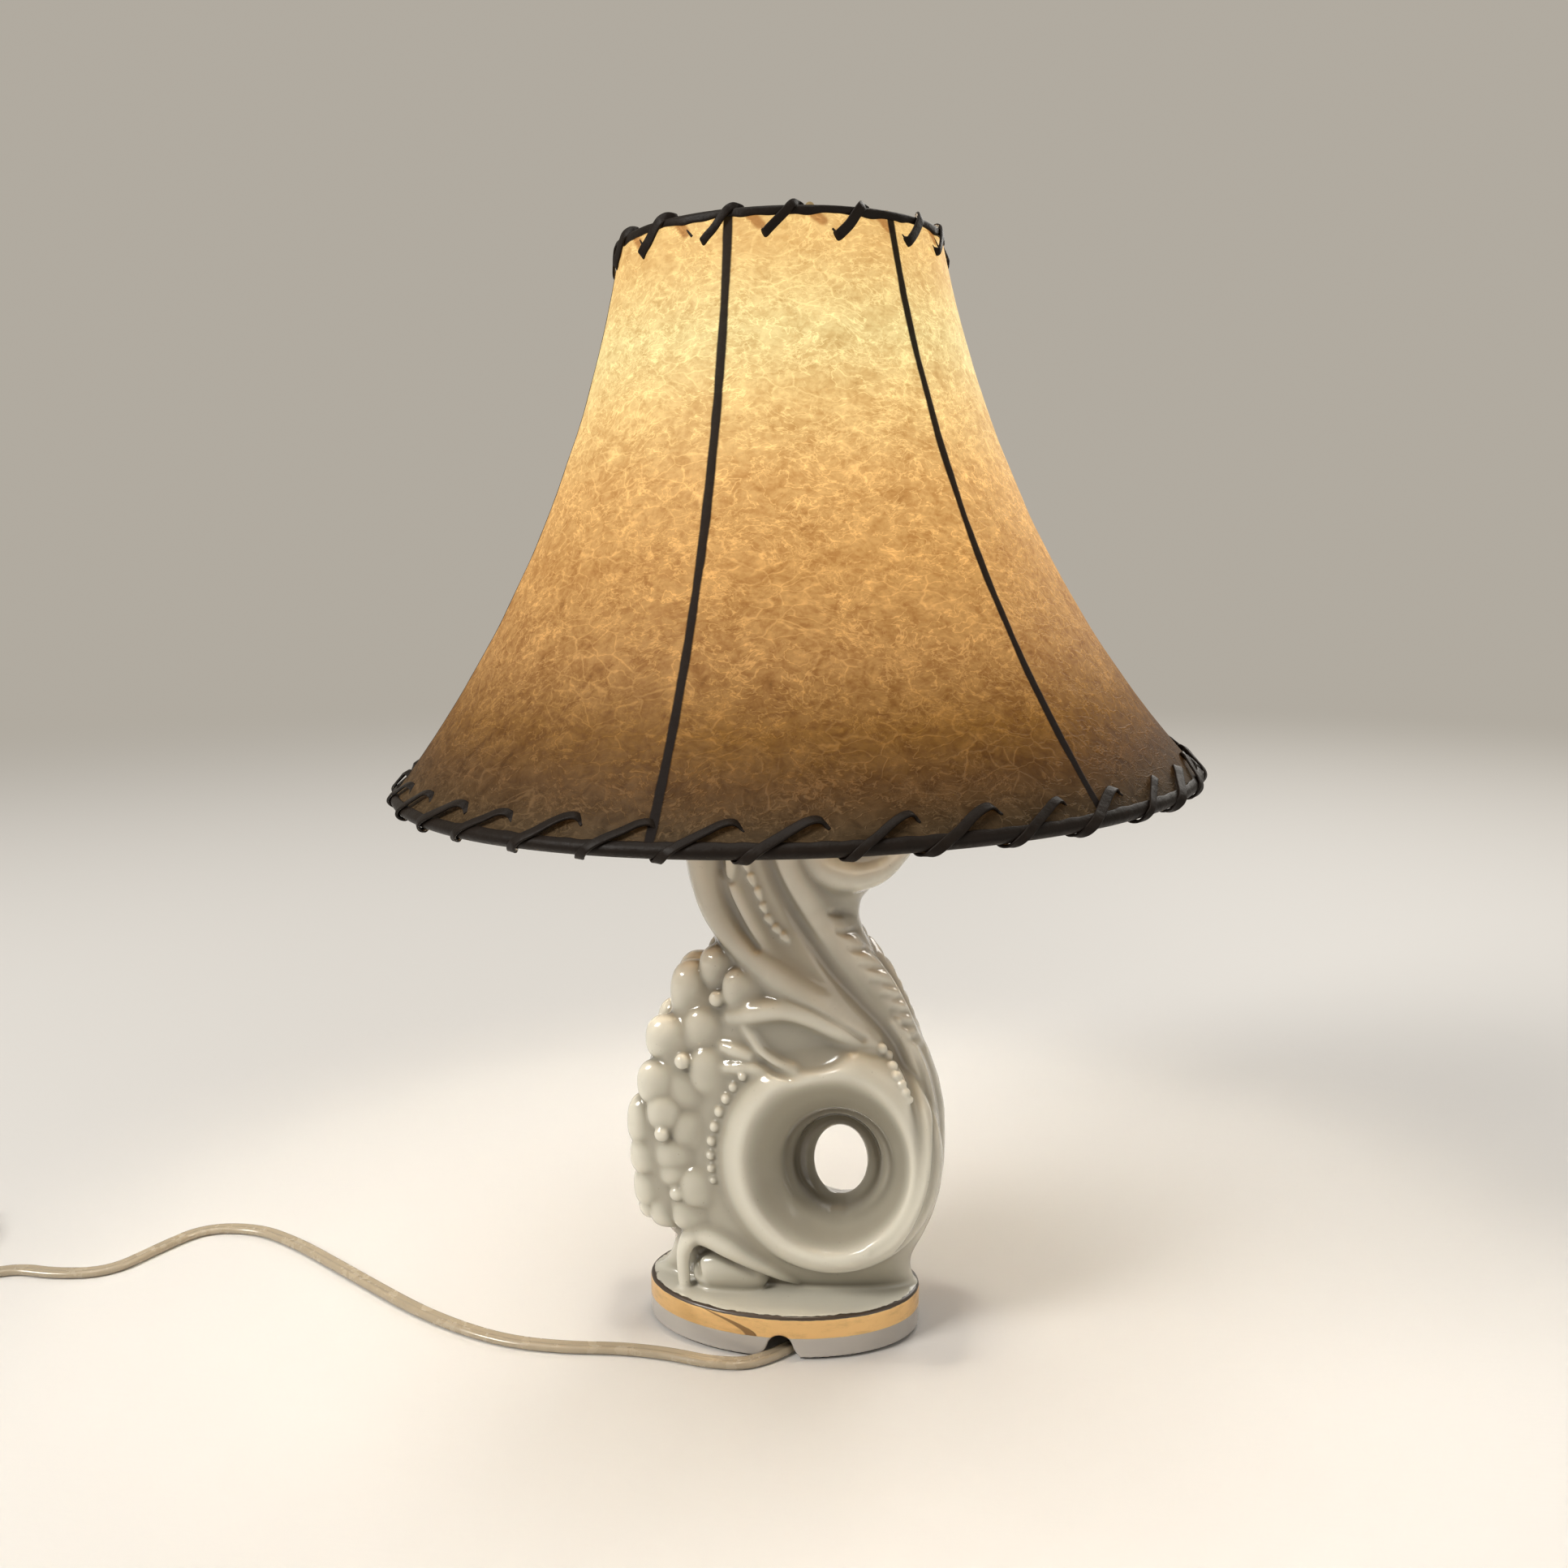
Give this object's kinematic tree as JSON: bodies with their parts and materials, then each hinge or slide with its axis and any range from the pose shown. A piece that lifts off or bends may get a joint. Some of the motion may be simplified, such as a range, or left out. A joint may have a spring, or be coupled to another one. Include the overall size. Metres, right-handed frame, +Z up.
{
  "type": "table lamp",
  "caption": "Small television lamp: glazed ceramic scroll base with a pierced ring, and a laced bell shade that clips onto the bulb.",
  "frame": {"origin": "the middle of the felt under the oval plinth, on the table", "axes": "+Z up, +X along the long side of the oval plinth, the face with the cord notch looks along -Y"},
  "size_m": [0.5341, 0.2631, 0.37],
  "materials": {
    "glaze": "gloss",
    "felt": "matt",
    "brass": "satin",
    "steel": "satin",
    "phenolic": "semi gloss",
    "card": "matt",
    "lead": "satin",
    "bulb_glass": "frosted",
    "bulb_cap": "satin",
    "black_glass": "gloss",
    "tungsten": "matt",
    "frame_wire": "satin",
    "parchment": "satin",
    "binding": "satin"
  },
  "bodies": {
    "base": {"ceramic_body": "glaze", "felt_pad": "felt", "nipple": "steel", "nipple_washer": "steel", "nipple_lock_nut": "steel", "vase_cap": "brass", "socket_cap": "brass", "socket_set_screw": "steel", "cord_bushing": "phenolic", "socket_shell": "brass", "socket_liner": "card", "socket_core": "phenolic", "screw_shell": "brass", "centre_contact": "brass", "terminal_screws": "brass", "inner_lead": "lead", "cord_run": "lead", "cord_coil": "lead", "cord_tie": "steel", "cord_tail": "lead", "plug_body": "phenolic", "plug_blades": "brass"},
    "knob": {"switch_shaft": "brass", "switch_knob": "phenolic"},
    "bulb": {"bulb_glass": "bulb_glass", "bulb_screw_base": "bulb_cap", "bulb_insulator": "black_glass", "bulb_stem": "bulb_glass", "filament_supports": "steel", "filament": "tungsten"},
    "clip": {"clip_wires": "brass", "clip_hub": "brass", "clip_post": "brass"},
    "shade": {"shade_skin": "parchment", "shade_ring_top": "frame_wire", "shade_ring_bottom": "frame_wire", "shade_ribs": "frame_wire", "spider_arms": "brass", "spider_washer": "brass", "rim_binding_top": "binding", "rim_binding_bottom": "binding", "lacing_top": "binding", "lacing_bottom": "binding"},
    "finial": {"finial": "brass"}
  },
  "joints": [
    {"name": "knob_turn", "type": "hinge", "parent": "base", "child": "knob", "pos_m": [0.016, 0, 0.2367], "axis": [1, 0, 0], "continuous": true},
    {"name": "bulb_turn", "type": "hinge", "parent": "base", "child": "bulb", "pos_m": [0, 0, 0.26], "axis": [0, 0, 1], "range_deg": [0, 1080]},
    {"name": "shade_lift", "type": "slide", "parent": "bulb", "child": "clip", "axis": [-0.0294, -0.0039, 0.9996], "range_m": [0, 0.06]},
    {"name": "shade_turn", "type": "hinge", "parent": "clip", "child": "shade", "pos_m": [0, 0, 0.324], "axis": [-0.0294, -0.0039, 0.9996], "continuous": true},
    {"name": "finial_turn", "type": "hinge", "parent": "clip", "child": "finial", "pos_m": [0, 0, 0.324], "axis": [-0.0294, -0.0039, 0.9996], "continuous": true}
  ]
}
